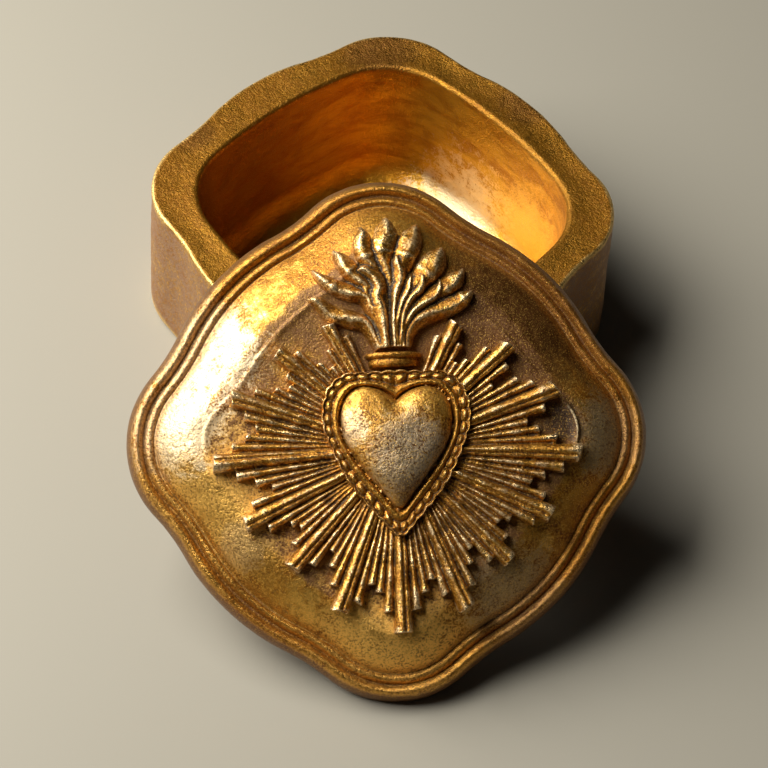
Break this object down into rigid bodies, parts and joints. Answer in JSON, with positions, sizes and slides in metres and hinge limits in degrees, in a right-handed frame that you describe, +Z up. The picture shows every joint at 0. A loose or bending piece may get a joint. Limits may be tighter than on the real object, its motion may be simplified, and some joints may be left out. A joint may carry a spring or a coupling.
{
  "type": "votive box",
  "caption": "Small gilded box of wavy square plan with a loose moulded lid carrying a flaming heart on a sunburst, the lid leaning open on the rim.",
  "frame": {"origin": "centre of the box's flat underside", "axes": "+Z up through the mouth; the four rounded corners lie on X and Y; the lid leans against the corner on -Y"},
  "size_m": [0.1187, 0.1735, 0.0677],
  "materials": {
    "gilt_body": "gold leaf over red clay ground, rubbed and dulled with brown patina",
    "gilt_lid": "gold leaf over red clay ground, rubbed bright on the slopes",
    "gilt_casting": "gilded cast ornament with dark patina in the hollows",
    "rubbed_heart": "gilded cast ornament, leaf rubbed through to speckled silver grey"
  },
  "bodies": {
    "box": {"box_body": "gilt_body"},
    "lid": {"lid": "gilt_lid", "sunburst": "gilt_casting", "heart_frame": "gilt_casting", "heart": "rubbed_heart", "flame_collar": "gilt_casting", "flame": "gilt_casting"}
  },
  "joints": [
    {"name": "lid_lift", "type": "slide", "parent": "box", "child": "lid", "axis": [0, 0, 1], "range_m": [0, 0.06]}
  ]
}
